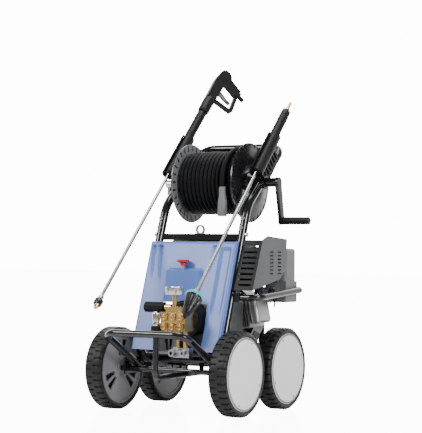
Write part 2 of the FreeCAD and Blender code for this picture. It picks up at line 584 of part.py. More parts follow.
fins = [pipe((PUMP_X, HEAD_BACK_Y + 10 + 11 * k, PUMP_Z), Y, 67, 60, 4) for k in range(6)]
nodes["pump_crankcase"] = fused([case_p] + fins)
gauge = turned([(0, 0), (0, GAUGE_R - 2), (2, GAUGE_R), (24, GAUGE_R), (28, GAUGE_R - 1.5),
                (28, GAUGE_R - 4), (14, GAUGE_R - 4), (14, 0)], (GAUGE_X, GAUGE_Y, GAUGE_Z), Z)
NEEDLE_PIN_R = 1.5
gauge = gauge.fuse(rod((GAUGE_X, GAUGE_Y, GAUGE_Z + 13), Z, NEEDLE_PIN_R, 7))
window = rod((GAUGE_X, GAUGE_Y, GAUGE_Z + 23), Z, GAUGE_R - 4, 2.5)
nodes["pressure_gauge"] = group([gauge.removeSplitter(), window])
needle = pipe((GAUGE_X, GAUGE_Y, GAUGE_Z + 16), Z, 4, NEEDLE_PIN_R + RUN_FIT, 2)
needle = needle.fuse(box(GAUGE_X - 24, GAUGE_X - 3, GAUGE_Y - 1, GAUGE_Y + 1, GAUGE_Z + 16, GAUGE_Z + 17.2))
nodes["gauge_needle"] = needle.removeSplitter()
knob_x = GAUGE_X - 36 - GAP
KNOB_L = 80.0
KNOB_R = 20.0
eight = []
for k in range(8):
    turn = pi * (k + 0.5) / 4
    eight.append(V(knob_x, GAUGE_Y - 4 + KNOB_R * cos(turn), KNOB_AX_Z + KNOB_R * sin(turn)))
nodes["unloader_knob"] = Part.Face(Part.makePolygon(eight + eight[:1])).extrude(V(-KNOB_L, 0, 0))
FILTER_X = PUMP_X - HEAD_HALF - 18.0
FILTER_Y = HEAD_FRONT_Y - 3.0
bowl = rod((FILTER_X, FILTER_Y, 312), Z, 13, 52)
collar_f = rod((FILTER_X, FILTER_Y, 294), Z, 17, 18)
link = rod((FILTER_X + 4, FILTER_Y + 9, 330), X, 5, PUMP_X - HEAD_HALF - FILTER_X - 4)
nodes["inlet_filter"] = group([bowl.fuse(link).removeSplitter(), collar_f])

COUPLING_Z = 220.0
IN_X = 52.0
OUT_X = 84.0
INLET_TURN = 15.0        # the inlet looks past the bumper post
INLET_L = 26.0
SEAT_L = 5.0
THREAD_R = 10.9          # 22 mm outlet thread
INLET_R = 13.1           # 3/4 inch inlet thread
manifold = box(IN_X - 18, OUT_X + 16, -236, -206, COUPLING_Z - 17, COUPLING_Z + 17)
water_dir = V(-sin(radians(INLET_TURN)), -cos(radians(INLET_TURN)), 0)
water_seat = V(IN_X, -236, COUPLING_Z)
inlet_pipe = rod(tuple(water_seat), water_dir, INLET_R, SEAT_L + INLET_L).fuse(
    rod(tuple(water_seat - water_dir * SEAT_L), water_dir, INLET_R + 1.9, 2 * SEAT_L))
outlet_pipe = rod((OUT_X, -236, COUPLING_Z), V(0, -1, 0), THREAD_R, 22)
body = fused([manifold, inlet_pipe, outlet_pipe])
body = body.cut(rod(tuple(water_seat), water_dir, 7, 40)).cut(rod((OUT_X, -259, COUPLING_Z), Y, 5, 26))
elbow = rod((OUT_X - 6, -222, COUPLING_Z + 17), Z, 9, HEAD_Z0 - COUPLING_Z - 17)
elbow2 = rod((IN_X - 6, -218, COUPLING_Z + 17), Z, 7, HEAD_Z0 - COUPLING_Z - 17)
swivel = rod((SHAFT_X0 - 4, REEL_Y, REEL_Z), V(-1, 0, 0), SHAFT_R + 2.5, 22).fuse(
    rod((SHAFT_X0 - 15, REEL_Y, REEL_Z), V(0, 0, -1), 9, 42))
swivel = swivel.fuse(
    pipe((SHAFT_X0 - 4, REEL_Y, REEL_Z), X, SHAFT_R + 4.5, SHAFT_R + RUN_FIT, 14)).removeSplitter()
nodes["hydraulic_fittings"] = group([body, elbow, elbow2, swivel])

# ---- engine ------------------------------------------------------------------------
ENGINE_Y = 80.0
CASE_HALF_L = 85.0
FLOOR = DECK_Z + DECK_T
case_e = box(PUMP_X - 125, PUMP_X + 82, ENGINE_Y - CASE_HALF_L, ENGINE_Y + CASE_HALF_L, FLOOR, PUMP_Z + 60)
case_e = case_e.fuse(rod((PUMP_X, PUMP_BACK_Y, PUMP_Z), Y, 58, ENGINE_Y - CASE_HALF_L - PUMP_BACK_Y + 1))
hollow = rod((PUMP_X, ENGINE_Y - CASE_HALF_L + 12, PUMP_Z), Y, 72, 2 * CASE_HALF_L - 24)
case_e = case_e.cut(hollow).cut(rod((PUMP_X, PUMP_BACK_Y - 1, PUMP_Z), Y, CRANKSHAFT_R + RUN_FIT, 400))
nodes["engine_crankcase"] = case_e.removeSplitter()
WEB_R = 46.0
SHAFT_FRONT_Y = HEAD_BACK_Y + 15
crank = rod((PUMP_X, SHAFT_FRONT_Y, PUMP_Z), Y, CRANKSHAFT_R, ENGINE_Y + CASE_HALF_L + 40 - SHAFT_FRONT_Y)
webs = [rod((PUMP_X, y, PUMP_Z), Y, WEB_R, 14) for y in (ENGINE_Y - 34, ENGINE_Y + 20)]
SHROUD_Y0 = ENGINE_Y + CASE_HALF_L
flywheel = rod((PUMP_X, SHROUD_Y0 + 8, PUMP_Z), Y, 88, 22)
nodes["crankshaft"] = fused([crank, flywheel] + webs)

CYL_LEAN = 12.0
cu = V(cos(radians(CYL_LEAN)), 0, sin(radians(CYL_LEAN)))
cyl_c = V(PUMP_X + 82, ENGINE_Y + 10, PUMP_Z + 12)
barrel = rod(tuple(cyl_c - cu * 12), cu, 42, 82)
plates = []
for k in range(7):
    c = cyl_c + cu * (8 + 9.5 * k)
    fin = Part.makeBox(110, 116, 3.2, V(-55, -58, 0))
    fin.Placement = FreeCAD.Placement(c, FreeCAD.Rotation(Z, cu))
    plates.append(fin)
engine_cyl = fused([barrel] + plates)
engine_cyl = engine_cyl.cut(case_e).cut(box(0, PUMP_X + 82, -200, 300, 150, 600))
nodes["engine_cylinder"] = max(engine_cyl.Solids, key=lambda q: q.Volume)
cover_c = cyl_c + cu * 72.0
cover = rounded(Part.makeBox(96, 104, 34, V(-48, -52, 0)), 12.0)
cover.Placement = FreeCAD.Placement(cover_c, FreeCAD.Rotation(Z, cu))
nodes["rocker_cover"] = cover

SHROUD_R = 112.0
SHROUD_L = 78.0
shroud = rod((PUMP_X, SHROUD_Y0, PUMP_Z), Y, SHROUD_R, SHROUD_L).cut(
    rod((PUMP_X, SHROUD_Y0 - 1, PUMP_Z), Y, SHROUD_R - 4, SHROUD_L - 5))
shroud = shroud.cut(rod((PUMP_X, SHROUD_Y0, PUMP_Z), Y, CRANKSHAFT_R + 2, SHROUD_L - 20))
EXIT_Z = PUMP_Z + 84
nodes["fan_shroud"] = shroud
tank = rounded(box(-150, 150, ENGINE_Y - 52, ENGINE_Y + 104, 488, 622), 22.0).cut(
    rounded(box(-146, 146, ENGINE_Y - 48, ENGINE_Y + 100, 492, 618), 18.0))
NECK_R = 24.0
CAP_X = -70.0
CAP_Y = ENGINE_Y + 26
tank = tank.cut(rod((CAP_X, CAP_Y, 600), Z, NECK_R - 3, 40))
tank = tank.fuse(pipe((CAP_X, CAP_Y, 618), Z, NECK_R, NECK_R - 3, 14))
stays = [box(x - 8, x + 8, ENGINE_Y - 20, ENGINE_Y + 60, PUMP_Z + 60, 489) for x in (-60, 90)]
nodes["fuel_tank"] = fused([tank] + stays).cut(
    box(-146, 146, ENGINE_Y - 30, ENGINE_Y + 70, 492, 500))
nodes["fuel_cap"] = turned([(0, NECK_R + GAP), (0, 30), (14, 30), (17, 27), (17, 0), (13, 0),
                            (13, NECK_R + GAP)], (CAP_X, CAP_Y, 622 + GAP), Z)
nodes["recoil_handle"] = fused([rod((PUMP_X, SHROUD_Y0 + SHROUD_L + GAP + 11, EXIT_Z), X, 9, 50),
                                rod((PUMP_X - 50, SHROUD_Y0 + SHROUD_L + GAP + 11, EXIT_Z), X, 9, 51),
                                rod((PUMP_X, SHROUD_Y0 + SHROUD_L + GAP, EXIT_Z), Y, 6, 14)])

AIR_X0 = 186.0
AIR_X1 = 266.0
AIR_Y0 = 182.0
AIR_Y1 = 268.0
air = box(AIR_X0, AIR_X1, AIR_Y0, AIR_Y1, 470, 592)
air_base = box(AIR_X0 - 4, AIR_X1 + 2, AIR_Y0 - 2, AIR_Y1 + 4, 392, 470)
air = air.makeFillet(12.0, [e for e in air.Edges if e.BoundBox.ZMin > 480 or e.BoundBox.ZLength > 80])
air_mount = box(151.0, AIR_X0, 200, 230, 488, 520)
air_body = fused([air, air_base, air_mount]).cut(
    box(AIR_X0 + 5, AIR_X1 - 5, AIR_Y0 + 5, AIR_Y1 - 5, 400, 585))
nodes["air_cleaner"] = max(air_body.cut(guard).Solids, key=lambda q: q.Volume)
carb = box(180, 224, 158, AIR_Y0 - 2, 396, 448)
carb = fused([carb, rod((202, 132, 425), Y, 16, 30), rod((202, 168, 390), Z, 12, 30)])
LEVER_R = 3.0
LEVER_X = 224.0
nodes["choke_lever"] = fused([pipe((LEVER_X + GAP, 168, 432), X, 7, LEVER_R + RUN_FIT, 5),
                              box(LEVER_X + GAP, LEVER_X + GAP + 5, 132, 163.5, 429, 435),
                              rod((LEVER_X + GAP, 132, 432), X, 12, 12)])
nodes["throttle_lever"] = fused([pipe((LEVER_X + GAP, 170, 404), X, 7, LEVER_R + RUN_FIT, 4),
                                 box(LEVER_X + GAP, LEVER_X + GAP + 4, 167, 173, 374, 398.5)])
carb = fused([carb, rod((LEVER_X - 6, 168, 432), X, LEVER_R, 12),
              rod((LEVER_X - 6, 170, 404), X, LEVER_R, 11)])
nodes["carburettor"] = max(carb.cut(cover).Solids, key=lambda q: q.Volume)

mx = GUARD_X - 12
MUFFLER_X = HALF_FRAME + FRAME_OD / 2 + 4
muffler = rounded(box(MUFFLER_X, mx, 0, 150, 462, 596), 16.0)
muffler = muffler.cut(box(MUFFLER_X + 6, mx - 6, 6, 144, 468, 590)).fuse(
    pipe((MUFFLER_X + 24, 60, 424), Z, 16, 12, 42)).removeSplitter()
nodes["muffler"] = muffler
face_lo = (side_y(440) - 24, 440.0)
face_hi = (side_y(620) - 12, 620.0)
side_pts = [(GUARD_X - 3, face_hi[0], face_hi[1]), (GUARD_X - 3, face_hi[0] + 40, 636),
            (GUARD_X - 3, 188, 626), (GUARD_X - 3, 178, 520), (GUARD_X - 3, 134, 478),
            (GUARD_X - 3, face_lo[0], face_lo[1])]
side_face = plate(side_pts, (0, 0, 0), X, 3)
for row in range(7):
    for col in range(2):
        y = 52 + 62 * col
        z = 580 - 13 * row
        side_face = side_face.cut(box(GUARD_X - 4, GUARD_X + 1, y, y + 26, z - 5, z))
fx0 = HALF_FRAME + FRAME_OD / 2 + 1
front_face = plate([(fx0, face_lo[0], face_lo[1]), (fx0, face_hi[0], face_hi[1]),
                    (fx0, face_hi[0] + 3, face_hi[1]), (fx0, face_lo[0] + 3, face_lo[1])],
                   (0, 0, 0), X, GUARD_X - 3 - fx0)
run = (face_hi[0] - face_lo[0]) / (face_hi[1] - face_lo[1])
for k in range(8):
    z = face_lo[1] + 16 + 19.5 * k
    y = face_lo[0] + (z - face_lo[1]) * run
    front_face = front_face.cut(box(fx0 + 9, GUARD_X - 12, y - 8, y + 12, z, z + 7))
top_face = box(fx0, GUARD_X - 3, face_hi[0], 150, 617, 620)
nodes["muffler_guard"] = fused([side_face, front_face, top_face])

# ---- bolts of the frame -------------------------------------------------------------
bolt_places = []
for s in (-1, 1):
    for z in (JOINT_Z - 16, JOINT_Z + 18):
        bolt_places.append((s * HALF_FRAME, side_y(z) - FRAME_OD / 2, z, V(0, -1, 0)))
    bolt_places.append((s * (HALF_FRAME + FRAME_OD / 2), side_y(640), 640, V(s, 0, 0)))
bolts = [rod((x - d.x * 3, y - d.y * 3, z), d, 8.0, 9.0) for x, y, z, d in bolt_places]
nodes["frame_bolts"] = group([b.cut(frame_outer).cut(mirrored(frame_outer)).cut(handle_solid).Solids[0]
                              for b in bolts] +
                             [rod((HALF_FRAME + 4, 112, 258), X, 9, 6)])

# ---- move to the origin and write ----------------------------------------------------
CORD_NODES = ("hose_pack", "hose_tail", "hose_sleeve")
whole = Part.makeCompound([s for n, s in nodes.items() if n not in CORD_NODES]).BoundBox
ORIGIN = V((whole.XMin + whole.XMax) / 2, (whole.YMin + whole.YMax) / 2, 0)
os.makedirs("parts", exist_ok=True)
for name, shape in nodes.items():
    out = shape.copy()
    out.translate(V(-ORIGIN.x, -ORIGIN.y, 0))
    out.exportStep(f"parts/{name}.step")
    good = all(s.isValid() and s.isClosed() for s in out.Solids) and len(out.Solids) > 0
    print(f"{name:24s} solids {len(out.Solids):2d} volume {out.Volume / 1000:9.1f} cm3 ok {good}")
print("origin", round(ORIGIN.x, 2), round(ORIGIN.y, 2), "nodes", len(nodes))
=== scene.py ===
import bpy
import bmesh
from math import sin, cos, pi, radians, sqrt
from mathutils import Vector, Matrix


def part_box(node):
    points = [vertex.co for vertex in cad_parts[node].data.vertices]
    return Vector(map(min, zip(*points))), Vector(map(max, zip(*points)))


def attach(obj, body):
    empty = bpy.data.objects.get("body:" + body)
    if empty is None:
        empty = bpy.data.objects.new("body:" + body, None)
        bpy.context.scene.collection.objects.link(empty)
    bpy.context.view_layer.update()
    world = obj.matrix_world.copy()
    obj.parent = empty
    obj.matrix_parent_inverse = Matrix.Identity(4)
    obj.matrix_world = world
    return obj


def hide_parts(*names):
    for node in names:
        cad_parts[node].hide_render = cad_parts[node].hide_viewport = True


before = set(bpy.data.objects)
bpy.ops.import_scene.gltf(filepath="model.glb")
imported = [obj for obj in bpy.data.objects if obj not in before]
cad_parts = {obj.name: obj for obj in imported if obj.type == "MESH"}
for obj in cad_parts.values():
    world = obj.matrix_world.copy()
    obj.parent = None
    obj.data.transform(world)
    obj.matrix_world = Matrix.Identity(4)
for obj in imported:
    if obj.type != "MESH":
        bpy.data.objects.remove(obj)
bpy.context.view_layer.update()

# Standing place of the machine. The middle plane and the middle of the wheelbase
# come from the wheels, and places below are counted from there, in millimetres.
left_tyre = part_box("tyre_front_left")
right_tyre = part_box("tyre_rear_right")
mid_x = (left_tyre[0].x + right_tyre[1].x) / 2
mid_y = (left_tyre[0].y + right_tyre[1].y) / 2


def at(x, y, z):
    return Vector((mid_x + x / 1000, mid_y + y / 1000, z / 1000))


# Camera at a low three-quarter view from the crank side.
# It stands about 5.5 m away with a long lens, so the tubes hardly converge.
camera_data = bpy.data.cameras.new("camera")
camera = bpy.data.objects.new("camera", camera_data)
bpy.context.scene.collection.objects.link(camera)
camera_data.sensor_fit = "VERTICAL"
camera_data.sensor_height = 36.0
camera_data.lens = 122.08
camera_data.clip_end = 60.0
camera.location = at(2715.5, -4677.9, 578.1)
look = at(-4.25, 94.57, 708.66) - camera.location
camera.rotation_mode = "QUATERNION"
roll = Matrix.Rotation(radians(0.565), 3, "Z").to_quaternion()
camera.rotation_quaternion = look.to_track_quat("-Z", "Y") @ roll
bpy.context.scene.camera = camera

# White studio: a wide floor with a faint shine, a bright backdrop behind the machine, a dim
# room in front and three large soft lamps. Seen directly, floor and room are plain white.
FLOOR_WHITE = 10.0
ROOM_WHITE = 14.0
ROOM_DIM = 0.32
BACKDROP = 3.2
bpy.ops.object.select_all(action="DESELECT")
bpy.ops.mesh.primitive_plane_add(size=60.0, location=(0, 0, -0.0005))
floor = bpy.context.object
floor.name = "floor"
floor_paint = bpy.data.materials.new("studio_floor")
floor_paint.use_nodes = True
floor_shader = floor_paint.node_tree.nodes["Principled BSDF"]
floor_shader.inputs["Base Color"].default_value = (0.93, 0.93, 0.935, 1)
floor_shader.inputs["Roughness"].default_value = 0.12
floor_shader.inputs["Specular IOR Level"].default_value = 0.5
floor_shader.inputs["Emission Color"].default_value = (1.0, 1.0, 1.0, 1)
floor_path = floor_paint.node_tree.nodes.new("ShaderNodeLightPath")
floor_glow = floor_paint.node_tree.nodes.new("ShaderNodeMath")
floor_glow.operation = "MULTIPLY"
floor_glow.inputs[1].default_value = FLOOR_WHITE
floor_paint.node_tree.links.new(floor_path.outputs["Is Camera Ray"], floor_glow.inputs[0])
floor_paint.node_tree.links.new(floor_glow.outputs["Value"], floor_shader.inputs["Emission Strength"])
floor.data.materials.append(floor_paint)
world = bpy.data.worlds.new("studio")
world.use_nodes = True
surround = world.node_tree.nodes["Background"]
surround.inputs["Color"].default_value = (1.0, 1.0, 1.0, 1)
world_links = world.node_tree.links
aim = world.node_tree.nodes.new("ShaderNodeTexCoord")
facing = world.node_tree.nodes.new("ShaderNodeVectorMath")
facing.operation = "DOT_PRODUCT"
facing.inputs[1].default_value = look.normalized()
backdrop = world.node_tree.nodes.new("ShaderNodeMapRange")
backdrop.interpolation_type = "SMOOTHSTEP"
for label, value in (("From Min", 0.35), ("From Max", 0.85), ("To Min", ROOM_DIM), ("To Max", BACKDROP)):
    backdrop.inputs[label].default_value = value
seen = world.node_tree.nodes.new("ShaderNodeLightPath")
pick_light = world.node_tree.nodes.new("ShaderNodeMix")
pick_light.inputs["B"].default_value = ROOM_WHITE
world_links.new(aim.outputs["Generated"], facing.inputs[0])
world_links.new(facing.outputs["Value"], backdrop.inputs["Value"])
world_links.new(seen.outputs["Is Camera Ray"], pick_light.inputs["Factor"])
world_links.new(backdrop.outputs["Result"], pick_light.inputs["A"])
world_links.new(pick_light.outputs["Result"], surround.inputs["Strength"])
bpy.context.scene.world = world
lamps = (("key", (-2.4, -3.6, 3.2), 1.5, 160.0), ("side", (4.0, -1.8, 2.4), 1.3, 150.0),
         ("top", (0.2, 0.4, 4.2), 2.2, 120.0))
for name, place, size, power in lamps:
    lamp_data = bpy.data.lights.new(name, "AREA")
    lamp_data.size = size
    lamp_data.energy = power
    lamp = bpy.data.objects.new(name, lamp_data)
    lamp.location = place
    lamp.rotation_euler = (Vector((0, 0, 0.6)) - lamp.location).to_track_quat("-Z", "Y").to_euler()
    bpy.context.scene.collection.objects.link(lamp)


# High-pressure hose: smooth black rubber, wound on the drum in two layers, its free
# end laid over the front of the turns and hanging into a sleeve. Held by the reel.
def surface_group():
    "Slow colour drift, roughness drift and a fine grain, shared by every finish."
    tree = bpy.data.node_groups.new("surface_variation", "ShaderNodeTree")
    face = tree.interface
    for label, value in (("Base", (0.5, 0.5, 0.5, 1)), ("Worn", (0.6, 0.6, 0.6, 1))):
        face.new_socket(label, in_out="INPUT", socket_type="NodeSocketColor").default_value = value
    for label, value in (("Patch Scale", 6.0), ("Grain Scale", 900.0), ("Rough Low", 0.3),
                         ("Rough High", 0.4)):
        face.new_socket(label, in_out="INPUT", socket_type="NodeSocketFloat").default_value = value
    face.new_socket("Color", in_out="OUTPUT", socket_type="NodeSocketColor")
    face.new_socket("Roughness", in_out="OUTPUT", socket_type="NodeSocketFloat")
    face.new_socket("Height", in_out="OUTPUT", socket_type="NodeSocketFloat")
    nodes, links = tree.nodes, tree.links
    source = nodes.new("NodeGroupInput")
    sink = nodes.new("NodeGroupOutput")
    where = nodes.new("ShaderNodeTexCoord")
    patch = nodes.new("ShaderNodeTexNoise")
    patch.inputs["Detail"].default_value = 6.0
    grain = nodes.new("ShaderNodeTexNoise")
    grain.inputs["Detail"].default_value = 3.0
    links.new(where.outputs["Object"], patch.inputs["Vector"])
    links.new(where.outputs["Object"], grain.inputs["Vector"])
    links.new(source.outputs["Patch Scale"], patch.inputs["Scale"])
    links.new(source.outputs["Grain Scale"], grain.inputs["Scale"])
    spread = nodes.new("ShaderNodeMapRange")
    spread.inputs["From Min"].default_value = 0.35
    spread.inputs["From Max"].default_value = 0.75
    links.new(patch.outputs["Fac"], spread.inputs["Value"])
    tint = nodes.new("ShaderNodeMix")
    tint.data_type = "RGBA"
    links.new(spread.outputs["Result"], tint.inputs["Factor"])
    links.new(source.outputs["Base"], tint.inputs[6])
    links.new(source.outputs["Worn"], tint.inputs[7])
    rough = nodes.new("ShaderNodeMapRange")
    links.new(patch.outputs["Fac"], rough.inputs["Value"])
    links.new(source.outputs["Rough Low"], rough.inputs["To Min"])
    links.new(source.outputs["Rough High"], rough.inputs["To Max"])
    links.new(tint.outputs[2], sink.inputs["Color"])
    links.new(rough.outputs["Result"], sink.inputs["Roughness"])
    links.new(grain.outputs["Fac"], sink.inputs["Height"])
    return tree


surface = surface_group()


def finish(name, base, worn, rough, metal=0.0, grain=900.0, depth=0.05, patch=6.0, coat=0.0, level=0.5):
    "A Principled finish fed by the shared surface group."
    paint = bpy.data.materials.new(name)
    paint.use_nodes = True
    nodes, links = paint.node_tree.nodes, paint.node_tree.links
    shader = nodes["Principled BSDF"]
    mixer = nodes.new("ShaderNodeGroup")
    mixer.node_tree = surface
    mixer.inputs["Base"].default_value = (*base, 1)
    mixer.inputs["Worn"].default_value = (*worn, 1)
    mixer.inputs["Patch Scale"].default_value = patch
    mixer.inputs["Grain Scale"].default_value = grain
    mixer.inputs["Rough Low"].default_value = rough[0]
    mixer.inputs["Rough High"].default_value = rough[1]
    bump = nodes.new("ShaderNodeBump")
    bump.inputs["Strength"].default_value = depth
    bump.inputs["Distance"].default_value = 0.0006
    links.new(mixer.outputs["Height"], bump.inputs["Height"])
    links.new(bump.outputs["Normal"], shader.inputs["Normal"])
    links.new(mixer.outputs["Color"], shader.inputs["Base Color"])
    links.new(mixer.outputs["Roughness"], shader.inputs["Roughness"])
    shader.inputs["Metallic"].default_value = metal
    shader.inputs["Coat Weight"].default_value = coat
    shader.inputs["Coat Roughness"].default_value = 0.08
    shader.inputs["Specular IOR Level"].default_value = level
    paint.diffuse_color = (*base, 1)
    return paint


def dress(piece, paint):
    "Gives a piece its one finish."
    piece.data.materials.clear()
    piece.data.materials.append(paint)
    return piece


HOSE_R = 8.25
REEL_HALF = 114.6
LAYER_R = (94.3, 111.6)
TURNS_PER_LAYER = 13.3
STEPS_PER_TURN = 16
TAIL_X = 84.0
TAIL_OUT = 132.6
LIFT_OUT = 16.2        # the free end climbs this far out of the turns
LIFT_SIDE = 30.0
reel_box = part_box("hose_pack")
reel_y = ((reel_box[0].y + reel_box[1].y) / 2 - mid_y) * 1000
reel_z = (reel_box[0].z + reel_box[1].z) * 500
hose_rubber = finish("hose_rubber", (0.003, 0.003, 0.004), (0.005, 0.005, 0.006), (0.5, 0.6), grain=1400,
                     depth=0.05, level=0.12)
route = []
steps = round(TURNS_PER_LAYER * STEPS_PER_TURN)
total = 2 * steps
ease = 1 / cos(pi / STEPS_PER_TURN) ** 0.67
for k in range(total + 1):
    turn = 2 * pi * (k - total) / STEPS_PER_TURN
    share = (k % steps if k < total else steps) / steps
    second = k >= steps
    blend = min(1.0, max(0.0, (k - steps + 8) / 16.0))
    r = (LAYER_R[0] + (LAYER_R[1] - LAYER_R[0]) * blend) * ease
    x = REEL_HALF * (1 - 2 * share) if not second else REEL_HALF * (2 * share - 1)
    climb = max(0.0, (k - total + 10) / 10.0)
    r += LIFT_OUT * climb
    x -= LIFT_SIDE * climb
    route.append(at(x, reel_y - r * sin(turn), reel_z + r * cos(turn)))
for out, up in ((52, 122), (96, 92), (124, 50), (TAIL_OUT, 12), (TAIL_OUT, -21)):
    route.append(at(TAIL_X, reel_y - out, reel_z + up))
hose_data = bpy.data.curves.new("hose", "CURVE")
hose_data.dimensions = "3D"
line = hose_data.splines.new("NURBS")
line.points.add(len(route) - 1)
for point, place in zip(line.points, route):
    point.co = (*place, 1)
line.order_u = 3
line.use_endpoint_u = True
line.resolution_u = 3
hose_data.bevel_depth = HOSE_R / 1000
hose_data.bevel_resolution = 4
hose_data.use_fill_caps = True
hose = bpy.data.objects.new("hose", hose_data)
bpy.context.scene.collection.objects.link(hose)
dress(hose, hose_rubber)
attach(hose, "reel")
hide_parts("hose_pack", "hose_tail")

# Sleeve of the hose end: grey moulded rubber, pushed over the fitting.
sleeve_grey = finish("sleeve_grey", (0.13, 0.13, 0.14), (0.19, 0.19, 0.2), (0.45, 0.6), grain=1200,
                     depth=0.15)
dress(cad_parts["hose_sleeve"], sleeve_grey)

# Chassis, handle, bumper, guard hoop: bent steel tube in a deep gloss black powder coat,
# welded, with a fine orange-peel skin.
powder_black = finish("powder_black", (0.004, 0.004, 0.005), (0.007, 0.007, 0.008), (0.1, 0.18), grain=420,
                      depth=0.06, coat=0.25, level=0.45)
for node in ("chassis_frame", "push_handle", "front_bumper", "engine_guard_hoop"):
    dress(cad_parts[node], powder_black)

# Deck and side plates: folded sheet steel in satin grey powder coat. The same grey is painted light on the
# muffler guard, lightening its side that faces the side lamp.
grey_powder_and_painted_lit_side = finish("grey_powder_and_painted_lit_side", (0.055, 0.057, 0.062), (0.075, 0.078, 0.083), (0.3, 0.42), grain=500,
                     depth=0.1)
dress(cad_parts["engine_deck"], grey_powder_and_painted_lit_side)

# Lifting eye, bolts, left lance pipe and engine shaft: zinc plated and stainless
# steel, turned or drawn, so the shine is broad.
zinc = finish("zinc_steel", (0.62, 0.62, 0.63), (0.45, 0.45, 0.46), (0.2, 0.34), metal=1.0, grain=1500,
              depth=0.06)
for node in ("lifting_eye", "frame_bolts", "lance_pipe_left", "crankshaft"):
    dress(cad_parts[node], zinc)


# Tyres: solid black rubber with thirty-six cross lugs, a toothed shoulder and a plain
# sidewall, pressed on the rims.
def clear():
    "Leaves edit mode and selects nothing."
    if bpy.context.object and bpy.context.object.mode == "EDIT":
        bpy.ops.object.mode_set(mode="OBJECT")
    bpy.ops.object.select_all(action="DESELECT")


def pick(piece, kind, test):
    "Selects the faces or edges whose middle passes a test, in edit mode."
    bpy.ops.mesh.select_mode(type=kind)
    bpy.ops.mesh.select_all(action="DESELECT")
    shape = bmesh.from_edit_mesh(piece.data)
    for item in shape.faces if kind == "FACE" else shape.edges:
        if kind == "FACE":
            item.select_set(test(item.calc_center_median()))
        else:
            item.select_set(test((item.verts[0].co + item.verts[1].co) / 2))
    shape.select_flush(True)
    bmesh.update_edit_mesh(piece.data)


def settle(piece, place, turn=None):
    "Puts the finished mesh in its place and leaves the object at the origin."
    if turn is not None:
        piece.data.transform(turn)
    piece.data.transform(Matrix.Translation(place))
    piece.data.update()
    return piece


def take(piece):
    "Makes one piece the selected and active one."
    clear()
    piece.select_set(True)
    bpy.context.view_layer.objects.active = piece


def smooth(piece, angle=35.0):
    "Smooth shading, with edges sharper than the angle left crisp."
    take(piece)
    bpy.ops.object.shade_smooth_by_angle(angle=radians(angle))
    return piece


def rounded(piece, width, segments=2, angle=30.0):
    "Rounds the edges of a piece by a width in millimetres."
    take(piece)
    bevel = piece.modifiers.new("rounding", "BEVEL")
    bevel.width = width / 1000
    bevel.segments = segments
    bevel.limit_method = "ANGLE"
    bevel.angle_limit = radians(angle)
    bpy.ops.object.modifier_apply(modifier="rounding")
    return smooth(piece, 40.0)


WHEEL_R = 150.0
LUGS = 36
PER_LUG = 4
GROOVE_DEPTH = 5.5
GROOVE_SHARE = 0.26     # of one lug's pitch
SIDE_STEPS = ((7.5, 143.5), (1.5, 139.5), (0.0, 133.0), (-2.0, 131.0), (-3.5, 128.2))
clear()
bpy.ops.mesh.primitive_cylinder_add(vertices=LUGS * PER_LUG, radius=WHEEL_R / 1000, depth=0.052,
                                    end_fill_type="NOTHING", rotation=(0, pi / 2, 0))
master_tyre = bpy.context.object
bpy.ops.object.transform_apply(location=False, rotation=True, scale=False)
bpy.ops.object.mode_set(mode="EDIT")
for cut_x in (-0.017, -0.004, 0.004, 0.017):
    bpy.ops.mesh.select_all(action="SELECT")
    bpy.ops.mesh.bisect(plane_co=(cut_x, 0, 0), plane_no=(1, 0, 0))
for side in (-1, 1):
    for width, radius in SIDE_STEPS:
        pick(master_tyre, "EDGE", lambda c: False)
        shape = bmesh.from_edit_mesh(master_tyre.data)
        rim_edges = [e for e in shape.edges if e.is_boundary and (e.verts[0].co.x * side) > 0]
        for e in rim_edges:
            e.select_set(True)
        bmesh.update_edit_mesh(master_tyre.data)
        old_r = (rim_edges[0].verts[0].co.yz).length
        bpy.ops.mesh.extrude_edges_move()
        factor = radius / 1000 / old_r
        bpy.ops.transform.resize(value=(1, factor, factor), center_override=(0, 0, 0))
        bpy.ops.transform.translate(value=(side * width / 1000, 0, 0))


def in_groove(c):
    "Tells whether a tread face lies in one of the staggered grooves."
    lug = (Vector((c.y, c.z)).angle_signed(Vector((0, 1))) % (2 * pi)) / (2 * pi) * LUGS
    shift = 0.0 if c.x > 0 else 0.5
    return ((lug + shift) % 1.0) < GROOVE_SHARE and 0.005 < abs(c.x) < 0.0335 and c.yz.length > 0.1415


pick(master_tyre, "FACE", in_groove)
bpy.ops.mesh.extrude_region_shrink_fatten(TRANSFORM_OT_shrink_fatten={"value": -GROOVE_DEPTH / 1000})
bpy.ops.mesh.select_all(action="SELECT")
bpy.ops.mesh.normals_make_consistent(inside=False)
bpy.ops.object.mode_set(mode="OBJECT")
rounded(master_tyre, 0.9, 2, 28)
tyre_rubber = finish("tyre_rubber", (0.009, 0.009, 0.010), (0.016, 0.016, 0.016), (0.42, 0.56), grain=700,
                     depth=0.2, level=0.3)
dress(master_tyre, tyre_rubber)
HALF_TRACK = 254.4
HALF_BASE = 166.2
wheel_places = {"front_left": (-1, -1), "front_right": (1, -1), "rear_left": (-1, 1), "rear_right": (1, 1)}
for number, (corner, (sx, sy)) in enumerate(wheel_places.items()):
    piece = bpy.data.objects.new("tyre_rubber_" + corner, master_tyre.data.copy())
    bpy.context.scene.collection.objects.link(piece)
    turn = Matrix.Rotation(pi * (sx < 0), 4, "Z") @ Matrix.Rotation(0.31 * number, 4, "X")
    settle(piece, at(sx * HALF_TRACK, sy * HALF_BASE, WHEEL_R), turn)
    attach(piece, "wheel_" + corner)
    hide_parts("tyre_" + corner)
bpy.data.objects.remove(master_tyre)


